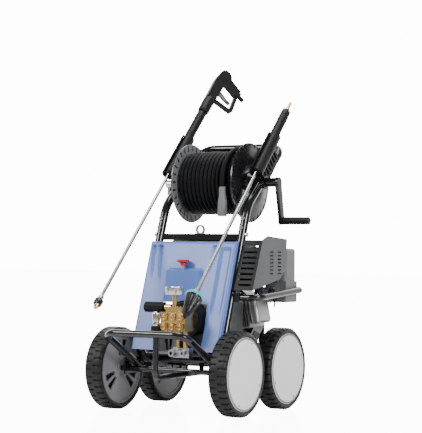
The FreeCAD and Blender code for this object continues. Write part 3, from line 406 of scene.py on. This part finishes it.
# Wheel caps: pale moulded discs snapped into the rims, dished, with a raised ring and
# small clip dimples. The rims behind them are moulded grey plastic.
def spun(name, profile, segments=96, axis="X"):
    "A profile of (along, radius) pairs in millimetres, spun round an axis at the origin."
    clear()
    data = bpy.data.meshes.new(name)
    points = [(a / 1000, 0, r / 1000) for a, r in profile]
    data.from_pydata(points, [(i, i + 1) for i in range(len(profile) - 1)], [])
    piece = bpy.data.objects.new(name, data)
    bpy.context.scene.collection.objects.link(piece)
    take(piece)
    bpy.ops.object.mode_set(mode="EDIT")
    bpy.ops.mesh.select_all(action="SELECT")
    bpy.ops.mesh.spin(steps=segments, angle=2 * pi, center=(0, 0, 0), axis=(1, 0, 0))
    bpy.ops.mesh.select_all(action="SELECT")
    bpy.ops.mesh.remove_doubles(threshold=0.00002)
    bpy.ops.mesh.normals_make_consistent(inside=False)
    bpy.ops.object.mode_set(mode="OBJECT")
    if axis == "Z":
        data.transform(Matrix.Rotation(-pi / 2, 4, "Y"))
    return piece


cap_pale = finish("cap_pale", (0.84, 0.84, 0.86), (0.88, 0.88, 0.9), (0.3, 0.4), grain=900, depth=0.04,
                  patch=3.0)
rim_grey = finish("rim_grey", (0.2, 0.2, 0.21), (0.24, 0.24, 0.25), (0.42, 0.55), grain=900, depth=0.1)
cap_profile = [(34.4, 0.0), (34.2, 30), (33.6, 70), (32.6, 96), (32.6, 101), (35.0, 104), (35.9, 106.5),
               (35.9, 110), (35.3, 118), (34.6, 126), (34.0, 128.6), (33.0, 129.3), (31.0, 129.0),
               (31.0, 126), (30.6, 100), (30.0, 0.0)]


def in_dimple(c):
    "Tells whether a face of the cap lies in one of the four dimples."
    return 0.110 < c.yz.length < 0.1175 and c.x > 0.0335 and abs(abs(c.y) - abs(c.z)) > 0.108


for corner, (sx, sy) in wheel_places.items():
    cap = spun("wheel_cap_" + corner, cap_profile, 128)
    take(cap)
    bpy.ops.object.mode_set(mode="EDIT")
    pick(cap, "FACE", in_dimple)
    bpy.ops.mesh.inset(thickness=0.0012, depth=-0.0014)
    bpy.ops.object.mode_set(mode="OBJECT")
    dress(smooth(cap, 30), cap_pale)
    turn = Matrix.Rotation(pi * (sx < 0), 4, "Z") @ Matrix.Rotation(0.4 * sy, 4, "X")
    settle(cap, at(sx * HALF_TRACK, sy * HALF_BASE, WHEEL_R), turn)
    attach(cap, "wheel_" + corner)
    dress(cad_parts["rim_" + corner], rim_grey)

# Front panel: blue moulded plastic shell with tapered flutes, a raised box that carries
# the red knob, rounded edges and a notch for the pump. Screwed to the side tubes.
PANEL_HALF = 181.6
PANEL_TOP = 613.6
PANEL_FOOT = 222.0
PANEL_FACE_Y = -43.0
PANEL_TAN = 0.3404
PANEL_WALL = 3.0
NOTCH_TOP = 393.0
COLUMNS = 150
ROWS = 160
panel_blue = finish("panel_blue", (0.10, 0.185, 0.52), (0.115, 0.205, 0.55), (0.32, 0.42), grain=1000,
                    depth=0.05, patch=3.0)


def step(low, high, value):
    "A soft step from 0 at low to 1 at high."
    t = min(1.0, max(0.0, (value - low) / (high - low)))
    return t * t * (3 - 2 * t)


def groove(x, z, x_top, x_foot, z_top, z_foot, width, depth):
    "A flute that is wide and deep at its top and runs out at its foot."
    if not z_foot < z < z_top:
        return 0.0
    share = (z_top - z) / (z_top - z_foot)
    middle = x_top + (x_foot - x_top) * share
    half = width * (1 - 0.75 * share)
    across = max(0.0, 1 - ((x - middle) / half) ** 2)
    return -depth * sqrt(across) * (1 - share) * step(z_top, z_top - 4, z)


def relief(x, z):
    "How far the panel stands out of its flat face."
    out = 34.0 * step(-79, -73, x) * step(63, 57, x) * step(514, 510, z) * max(0.0, (z - 372) / 138)
    out += groove(x, z, -163, -150, 600, 470, 10, 11) + groove(x, z, -134, -114, 600, 470, 10, 11)
    out += groove(x, z, 96, 92, 600, 500, 9, 8)
    out -= 7.0 * step(118, 132, x) * step(596, 580, z) * step(166, 160, x) * step(330, 420, z)
    border = min(PANEL_HALF - abs(x), PANEL_TOP - z)
    out -= 7.0 * (1 - sqrt(1 - (1 - min(1.0, border / 9)) ** 2))
    return out


clear()
bpy.ops.mesh.primitive_grid_add(x_subdivisions=COLUMNS, y_subdivisions=ROWS, size=1.0)
panel = bpy.context.object
panel.name = "front_panel_shell"
for vert in panel.data.vertices:
    x = vert.co.x * 2 * PANEL_HALF
    z = PANEL_FOOT + (vert.co.y + 0.5) * (PANEL_TOP - PANEL_FOOT)
    vert.co = at(x, PANEL_FACE_Y - (PANEL_TOP - z) * PANEL_TAN - relief(x, z), z)


def in_notch(c):
    "Tells whether a face lies where the pump comes through."
    return -0.085 < c.x - mid_x < 0.112 - 0.07 * max(0.0, c.z - 0.30) and c.z < NOTCH_TOP / 1000


bpy.ops.object.mode_set(mode="EDIT")
pick(panel, "FACE", in_notch)
bpy.ops.mesh.delete(type="FACE")
pick(panel, "EDGE", lambda c: False)
shape = bmesh.from_edit_mesh(panel.data)
for e in shape.edges:
    e.select_set(e.is_boundary)
bmesh.update_edit_mesh(panel.data)
bpy.ops.mesh.extrude_edges_move(TRANSFORM_OT_translate={"value": (0, 0.012, 0)})
bpy.ops.mesh.select_all(action="SELECT")
bpy.ops.mesh.normals_make_consistent(inside=False)
bpy.ops.object.mode_set(mode="OBJECT")
if panel.data.polygons[len(panel.data.polygons) // 3].normal.y > 0:
    panel.data.flip_normals()
wall = panel.modifiers.new("wall", "SOLIDIFY")
wall.thickness = PANEL_WALL / 1000
wall.offset = -1
take(panel)
bpy.ops.object.modifier_apply(modifier="wall")
dress(smooth(panel, 50), panel_blue)
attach(panel, "chassis")
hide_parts("front_panel")

# Red knob: glossy moulded knob on a bright steel stem that drops into the raised box.
knob_red = finish("knob_red", (0.5, 0.012, 0.012), (0.58, 0.02, 0.018), (0.18, 0.28), depth=0.03, coat=0.3)
knob_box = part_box("red_knob")
knob_x = (knob_box[0].x + knob_box[1].x) / 2
knob_y = (knob_box[0].y + knob_box[1].y) / 2
knob_top = knob_box[1].z
knob_profile = [(-24, 0), (-24, 9), (-15, 10.5), (-11, 15), (-9, 21.5), (-7.5, 23), (-3, 23), (-0.8, 21.5),
                (0, 18), (0, 0)]
knob = spun("red_knob_cap", knob_profile, 48, "Z")
dress(smooth(knob, 30), knob_red)
settle(knob, Vector((knob_x, knob_y, knob_top)))
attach(knob, "stop_knob")
stem_profile = [(-61, 0), (-61, 6), (-46, 6), (-45, 8.5), (-30, 8.5), (-29, 6), (-23, 6), (-23, 0)]
stem = spun("red_knob_stem", stem_profile, 32, "Z")
dress(smooth(stem, 30), zinc)
settle(stem, Vector((knob_x, knob_y, knob_top)))
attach(stem, "stop_knob")
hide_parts("red_knob")

# Reel flanges: glossy black moulded dishes with radial ribs near the rim, screwed to the ends of the drum. On
# the left one the flat faces near the rim are painted grey, a painted reflection on the gloss.
RIBS = 28
FLANGE_X = 127.0
black_gloss = finish("black_gloss", (0.005, 0.005, 0.006), (0.010, 0.010, 0.011), (0.18, 0.28), depth=0.05,
                     coat=0.1, level=0.4)
grey_plastic_and_rim_reflection = finish("grey_plastic_and_rim_reflection", (0.13, 0.13, 0.137), (0.16, 0.16, 0.167), (0.38, 0.5), grain=1100,
                      depth=0.1)


def two_tone(piece, paint, test):
    "Gives the faces that pass a test a second finish."
    piece.data.materials.append(paint)
    for face in piece.data.polygons:
        if test(face):
            face.material_index = len(piece.data.materials) - 1
    return piece


def painted_reflection_rim(face):
    """Tells whether a face lies flat and near the rim of the flange, where grey is painted as a reflection.
    """
    return face.center.yz.length > 0.122 and abs(face.normal.x) > 0.6


flange_profile = [(-3.2, 86), (-3.2, 118), (-4.0, 142), (-3.6, 147.5), (-2, 149), (0.5, 149), (2.2, 147),
                  (1.5, 143), (4.5, 128), (9.0, 96), (9.4, 84), (7.5, 60), (3.0, 40), (20, 31), (20, 13),
                  (-3.2, 13), (-3.2, 86)]
for hand, s in (("left", -1), ("right", 1)):
    disc = spun("reel_dish_" + hand, flange_profile, 128)
    dress(smooth(disc, 35), black_gloss)
    settle(disc, at(s * FLANGE_X, reel_y, reel_z), Matrix.Rotation(pi * (s < 0), 4, "Z"))
    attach(disc, "reel")
    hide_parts("reel_flange_" + hand)
    # Painted reflection: the left flange's flat faces near the rim get grey.
    if s < 0:
        two_tone(disc, grey_plastic_and_rim_reflection, painted_reflection_rim)
    clear()
    bars = []
    for k in range(RIBS):
        bpy.ops.mesh.primitive_cube_add(size=1.0, location=(0, 0, 0.1345), scale=(0.0086, 0.0068, 0.022))
        rib = bpy.context.object
        bpy.ops.object.transform_apply(location=True, rotation=True, scale=True)
        rib.data.transform(Matrix.Rotation(2 * pi * k / RIBS, 4, "X"))
        bars.append(rib)
    clear()
    for rib in bars:
        rib.select_set(True)
    bpy.context.view_layer.objects.active = bars[0]
    bpy.ops.object.join()
    ribs = bpy.context.object
    ribs.name = "reel_ribs_" + hand
    rounded(ribs, 0.8, 1)
    dress(ribs, black_gloss)
    settle(ribs, at(s * FLANGE_X, reel_y, reel_z))
    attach(ribs, "reel")
dress(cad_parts["reel_shaft"], black_gloss)
dress(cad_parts["reel_bearings"], black_gloss)


# Moulded and cast pieces that keep their size: each is a copy of its own solid with
# its planes joined and its edges broken, as a mould or a file leaves them.
def softened(node, body, paint, width, segments=2):
    "A copy of a solid with its edges rounded by a width in millimetres."
    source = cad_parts[node]
    piece = bpy.data.objects.new(node + "_shell", source.data.copy())
    bpy.context.scene.collection.objects.link(piece)
    take(piece)
    bpy.ops.object.mode_set(mode="EDIT")
    bpy.ops.mesh.select_all(action="SELECT")
    bpy.ops.mesh.remove_doubles(threshold=0.00001)
    bpy.ops.mesh.dissolve_limited(angle_limit=radians(2))
    bpy.ops.object.mode_set(mode="OBJECT")
    bevel = piece.modifiers.new("rounding", "BEVEL")
    bevel.width = width / 1000
    bevel.segments = segments
    bevel.limit_method = "ANGLE"
    bevel.angle_limit = radians(38)
    bpy.ops.object.modifier_apply(modifier="rounding")
    dress(smooth(piece, 40), paint)
    even = piece.modifiers.new("even", "WEIGHTED_NORMAL")
    even.keep_sharp = True
    bpy.ops.object.modifier_apply(modifier="even")
    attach(piece, body)
    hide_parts(node)
    return piece


black_matt = finish("black_matt", (0.006, 0.006, 0.007), (0.011, 0.011, 0.012), (0.42, 0.52), grain=1300,
                    depth=0.14, level=0.2)
brass = finish("brass_cast", (0.80, 0.54, 0.20), (0.64, 0.41, 0.14), (0.16, 0.3), metal=1.0, grain=900,
               depth=0.12, patch=14)
cast_alloy = finish("cast_alloy", (0.5, 0.5, 0.5), (0.38, 0.38, 0.385), (0.34, 0.5), metal=1.0, grain=500,
                    depth=0.25, patch=10)
black_paint = finish("black_paint", (0.005, 0.005, 0.006), (0.010, 0.010, 0.011), (0.26, 0.4), grain=500,
                     depth=0.12, level=0.4)
softened("gun_body", "lance_left", black_matt, 3.0, 3)
softened("gun_trigger", "trigger", grey_plastic_and_rim_reflection, 1.4)
softened("safety_catch", "catch", grey_plastic_and_rim_reflection, 0.4)
softened("crank_arm", "reel", black_gloss, 1.6)
softened("pump_head", "chassis", brass, 2.2, 3)
fittings = softened("hydraulic_fittings", "chassis", zinc, 1.2)
softened("unloader_knob", "regulator_knob", black_matt, 2.0)
guard = softened("muffler_guard", "chassis", black_matt, 0.5, 1)
# Painted light: the black guard's faces turned towards +x get the lighter grey, as its lit side.
two_tone(guard, grey_powder_and_painted_lit_side, lambda face: face.normal.x > 0.7)
dress(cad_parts["axles"], powder_black)
ELBOW_Z = (0.2375, 0.5)    # the fittings are brass between these heights
two_tone(fittings, brass, lambda face: ELBOW_Z[0] < face.center.z < ELBOW_Z[1])

# Painted shade behind the muffler guard: a thin black sheet behind the lowest louvres stands in for the shade
# there, leaning with the front face and set against it.
SHADE_SHEET_T = 0.0012
SHADE_SHEET_H = 0.064
GUARD_LEAN = radians(19.2)
guard_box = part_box("muffler_guard")
clear()
bpy.ops.mesh.primitive_cube_add(size=1.0,
                                scale=(guard_box[1].x - guard_box[0].x - 0.010, SHADE_SHEET_T, SHADE_SHEET_H))
bpy.ops.object.transform_apply(location=False, rotation=False, scale=True)
shade_sheet = bpy.context.object
shade_sheet.name = "guard_shade_sheet"
rounded(shade_sheet, 0.4, 1)
dress(shade_sheet, black_matt)
guard_mid = (guard_box[0].x + guard_box[1].x) / 2
settle(shade_sheet, Vector((guard_mid, guard_box[0].y + 0.034, guard_box[0].z + 0.042)),
       Matrix.Rotation(-GUARD_LEAN, 4, "X"))
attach(shade_sheet, "chassis")

# Engine, lance holders and small grips: cast alloy, black paint and moulded plastic.
# The engine is bolted to the deck, and each moulding is pushed or screwed in its place.
softened("carburettor", "chassis", cast_alloy, 2.0)
softened("engine_crankcase", "chassis", black_paint, 3.0)
softened("choke_lever", "choke", black_matt, 1.0)
softened("lance_holder_left", "chassis", black_matt, 0.8, 1)
softened("lance_holder_right", "chassis", black_matt, 0.8, 1)
for node in ("crank_grip", "throttle_lever"):
    dress(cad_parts[node], black_matt)
for node in ("fan_shroud", "fuel_cap", "recoil_handle", "fuel_tank"):
    dress(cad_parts[node], black_gloss)
dress(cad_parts["air_cleaner"], grey_plastic_and_rim_reflection)
for node in ("muffler", "pump_crankcase"):
    dress(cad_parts[node], black_paint)
for node in ("engine_cylinder", "rocker_cover"):
    dress(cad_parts[node], cast_alloy)
dress(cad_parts["gauge_needle"], knob_red)

# Lance ends. The left lance has a black knurled collar over a brass tip. The right one
# has a fluted black cone with a cyan ring, which holds the rotating jet. Screwed on.
LANCE_LEAN = radians(44.5)
LANCE_TURN = Matrix.Rotation(-LANCE_LEAN, 4, "X")
LANCE_UP = Vector((0, sin(LANCE_LEAN), cos(LANCE_LEAN)))
LANCE_X = 188.0
TIP_PLACE = -690


def along(side, distance):
    "A place on a lance's middle line, counted up from the holder's foot."
    return at(side * LANCE_X, 86 + distance * LANCE_UP.y, 868 + distance * LANCE_UP.z)


def ridged(piece, count, low, high, depth, inner=0.0):
    "Presses lengthwise flutes into a spun piece that still stands on its own axis."
    for vert in piece.data.vertices:
        radius = vert.co.xy.length
        if low / 1000 < vert.co.z < high / 1000 and radius > inner / 1000:
            angle = Vector((vert.co.x, vert.co.y)).angle_signed(Vector((1, 0)))
            keep = 1 - depth / 1000 / radius * max(0.0, cos(count * angle)) ** 0.6
            vert.co.x *= keep
            vert.co.y *= keep
    return piece


cyan = finish("ring_cyan", (0.02, 0.42, 0.5), (0.03, 0.5, 0.58), (0.25, 0.35), depth=0.05)
cone_profile = [(-14, 9), (-14, 13), (-8, 15.5), (20, 22), (50, 29), (58, 31), (66, 31.5), (72, 30), (76, 20),
                (76, 9)]
cone = spun("turbo_cone", cone_profile, 192, "Z")
ridged(cone, 16, -10, 56, 2.2, 12)
dress(smooth(cone, 40), black_gloss)
settle(cone, along(1, TIP_PLACE), LANCE_TURN)
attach(cone, "lance_right")
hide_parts("turbo_nozzle")
ring_profile = [(60, 30), (60, 32.2), (62, 33), (69, 32.6), (73, 30.4), (74, 24), (74, 20), (60, 20),
                (60, 30)]
ring = spun("turbo_ring", ring_profile, 96, "Z")
dress(smooth(ring, 40), cyan)
settle(ring, along(1, TIP_PLACE), LANCE_TURN)
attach(ring, "lance_right")
tip = spun("turbo_tip", [(-28, 4), (-28, 7), (-20, 9), (-14, 10), (-10, 12), (-10, 4), (-28, 4)], 48, "Z")
dress(smooth(tip, 40), black_matt)
settle(tip, along(1, TIP_PLACE), LANCE_TURN)
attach(tip, "lance_right")
neck_profile = [(74, 6.5), (74, 12), (82, 12), (84, 10), (97, 10), (98, 9), (98, 6.5), (74, 6.5)]
neck = spun("turbo_neck", neck_profile, 48, "Z")
dress(smooth(neck, 40), zinc)
settle(neck, along(1, TIP_PLACE), LANCE_TURN)
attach(neck, "lance_right")
collar_profile = [(15, 7), (15, 14), (17, 15.8), (37, 16), (39.5, 14), (39.5, 7), (15, 7)]
collar = spun("nozzle_collar", collar_profile, 144, "Z")
ridged(collar, 10, 14, 40, 1.8, 12)
dress(smooth(collar, 40), black_gloss)
settle(collar, along(-1, TIP_PLACE), LANCE_TURN)
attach(collar, "lance_left")
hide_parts("flat_jet_nozzle")
jet = spun("nozzle_tip", [(0, 2.5), (0, 7), (4, 8.5), (14, 8.5), (15, 9), (15, 2.5), (0, 2.5)], 48, "Z")
dress(smooth(jet, 40), brass)
settle(jet, along(-1, TIP_PLACE), LANCE_TURN)
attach(jet, "lance_left")
ferrule_profile = [(39.5, 6.5), (39.5, 9.5), (56, 9.5), (58, 8.5), (58, 6.5), (39.5, 6.5)]
ferrule = spun("nozzle_ferrule", ferrule_profile, 48, "Z")
dress(smooth(ferrule, 40), zinc)
settle(ferrule, along(-1, TIP_PLACE), LANCE_TURN)
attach(ferrule, "lance_left")

# Right lance pipe: drawn steel with a brass plug nipple at its upper end, which
# snaps into the gun.
plain_pipe = softened("lance_pipe_right", "lance_right", zinc, 0.6)
nipple_foot = along(1, 351)
two_tone(plain_pipe, brass, lambda face: (face.center - nipple_foot).dot(LANCE_UP) > 0)

# Lance grips: black moulded tubes, 36 mm thick, with rows of fine rings where the hand
# lies, moulded on the pipes.
RING_PITCH = 9
for hand, s, top in (("left", -1, 362), ("right", 1, 350)):
    profile = [(8, 7), (8, 15), (14, 17), (195, 17)]
    mark = 209
    while mark < top - 24:
        profile += [(mark, 18), (mark + 5.5, 18), (mark + 6.2, 17.2), (mark + 8.2, 17.2)]
        mark += RING_PITCH
    profile += [(top - 10, 18), (top - 3, 16.5), (top, 13), (top, 7), (8, 7)]
    grip = spun("lance_grip_tube_" + hand, profile, 64, "Z")
    dress(smooth(grip, 40), black_matt)
    settle(grip, along(s, 0), LANCE_TURN)
    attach(grip, "lance_" + hand)
    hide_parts("lance_grip_" + hand)

# Valve plugs: two rows of three hexagon brass plugs with socketed heads, each on a round
# brass boss, screwed into the front of the pump head.
plug_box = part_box("valve_plugs")
plug_rows = (plug_box[0].z * 1000 + 10.5, plug_box[1].z * 1000 - 10.5)
plug_front = (plug_box[1].y - mid_y) * 1000
PUMP_X = 38.0
PLUG_PITCH = 33
PLUG_R = 10.5
for row, z in enumerate(plug_rows):
    for column, dx in enumerate((-PLUG_PITCH, 0, PLUG_PITCH)):
        clear()
        bpy.ops.mesh.primitive_cylinder_add(vertices=6, radius=PLUG_R / 1000, depth=0.010,
                                            rotation=(pi / 2, 0, 0))
        hexagon = bpy.context.object
        hexagon.name = f"valve_plug_{row}_{column}"
        bpy.ops.object.transform_apply(location=False, rotation=True, scale=False)
        bpy.ops.object.mode_set(mode="EDIT")
        pick(hexagon, "FACE", lambda c: c.y < -0.0045)
        bpy.ops.mesh.inset(thickness=0.0028)
        bpy.ops.mesh.extrude_region_move(TRANSFORM_OT_translate={"value": (0, 0.003, 0)})
        bpy.ops.object.mode_set(mode="OBJECT")
        rounded(hexagon, 0.7)
        dress(hexagon, brass)
        settle(hexagon, at(PUMP_X + dx, plug_front - 5, z))
        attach(hexagon, "chassis")
        if row == 0 and column == 0:
            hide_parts("valve_plugs")
boss_profile = [(0, 8), (0, 14.2), (3.2, 14.8), (5.4, 13.6), (5.4, 8), (0, 8)]
for row, z in enumerate(plug_rows):
    for column, dx in enumerate((-PLUG_PITCH, 0, PLUG_PITCH)):
        boss = spun(f"plug_boss_{row}_{column}", boss_profile, 48, "Z")
        dress(smooth(boss, 40), brass)
        boss.data.transform(Matrix.Rotation(pi / 2, 4, "X"))
        settle(boss, at(PUMP_X + dx, plug_front - 2.5, z))
        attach(boss, "chassis")

# Pressure gauge: a polished steel drum, 67 mm wide, with a rolled rim, a white dial with
# plain marks and a glass window. It stands on the head's stem.
MARKS = 21
SWEEP = 270.0
gauge_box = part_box("pressure_gauge")
gauge_middle = (gauge_box[0] + gauge_box[1]) / 2
gauge_foot = Vector((gauge_middle.x, gauge_middle.y, gauge_box[0].z))
polished = finish("polished_steel", (0.7, 0.7, 0.71), (0.6, 0.6, 0.61), (0.12, 0.22), metal=1.0, grain=1400,
                  depth=0.04)
drum_profile = [(0, 0), (0, 30), (1.5, 32.2), (3, 32.6), (20, 32.6), (21, 33.5), (27, 33.5), (28, 32.5),
                (28, 30), (26, 29.4), (14, 29.4), (14, 0)]
drum = spun("gauge_drum", drum_profile, 96, "Z")
dress(smooth(drum, 40), polished)
settle(drum, gauge_foot)
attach(drum, "chassis")
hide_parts("pressure_gauge")
dial_white = finish("dial_white", (0.75, 0.75, 0.74), (0.8, 0.8, 0.79), (0.4, 0.5), depth=0.02)
dial = spun("gauge_dial", [(14.2, 1.8), (14.2, 29), (15, 29), (15, 1.8), (14.2, 1.8)], 64, "Z")
dress(smooth(dial, 40), dial_white)
settle(dial, gauge_foot)
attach(dial, "chassis")
for mark in range(MARKS):
    clear()
    length = 0.0062 if mark % 5 == 0 else 0.0034
    bpy.ops.mesh.primitive_cube_add(size=1.0, location=(0, 0.0245, 0.0153), scale=(0.0008, length, 0.0004))
    bpy.ops.object.transform_apply(location=True, rotation=True, scale=True)
    tick = bpy.context.object
    tick.name = f"gauge_mark_{mark:02d}"
    rounded(tick, 0.08, 1)
    dress(tick, black_matt)
    settle(tick, gauge_foot, Matrix.Rotation(radians(SWEEP / 2 - SWEEP / (MARKS - 1) * mark), 4, "Z"))
    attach(tick, "chassis")
clear_glass = bpy.data.materials.new("clear_glass")
clear_glass.use_nodes = True
glass = clear_glass.node_tree.nodes["Principled BSDF"]
glass.inputs["Transmission Weight"].default_value = 1.0
glass.inputs["Roughness"].default_value = 0.03
glass.inputs["IOR"].default_value = 1.45
window = spun("gauge_window", [(23, 0), (23, 29.2), (25.5, 29.2), (25.5, 0)], 64, "Z")
dress(smooth(window, 40), clear_glass)
settle(window, gauge_foot)
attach(window, "chassis")

# Inlet filter: a bright upright bowl in a black knurled collar, screwed to the left side
# of the pump head.
COLLAR_R = 17.0
filter_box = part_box("inlet_filter")
filter_foot = filter_box[0] + Vector((COLLAR_R / 1000, COLLAR_R / 1000, 0))
bowl = spun("filter_bowl", [(17, 0), (17, 12), (20, 13), (60, 13), (66, 11.5), (69, 8), (70, 0)], 64, "Z")
dress(smooth(bowl, 40), polished)
settle(bowl, filter_foot)
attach(bowl, "chassis")
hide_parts("inlet_filter")
knurl = spun("filter_collar", [(0, 0), (0, 15), (2, 17), (16, 17), (18, 15.5), (18, 0)], 160, "Z")
ridged(knurl, 14, 1, 17.5, 1.6, 14)
dress(smooth(knurl, 40), black_matt)
settle(knurl, filter_foot)
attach(knurl, "chassis")
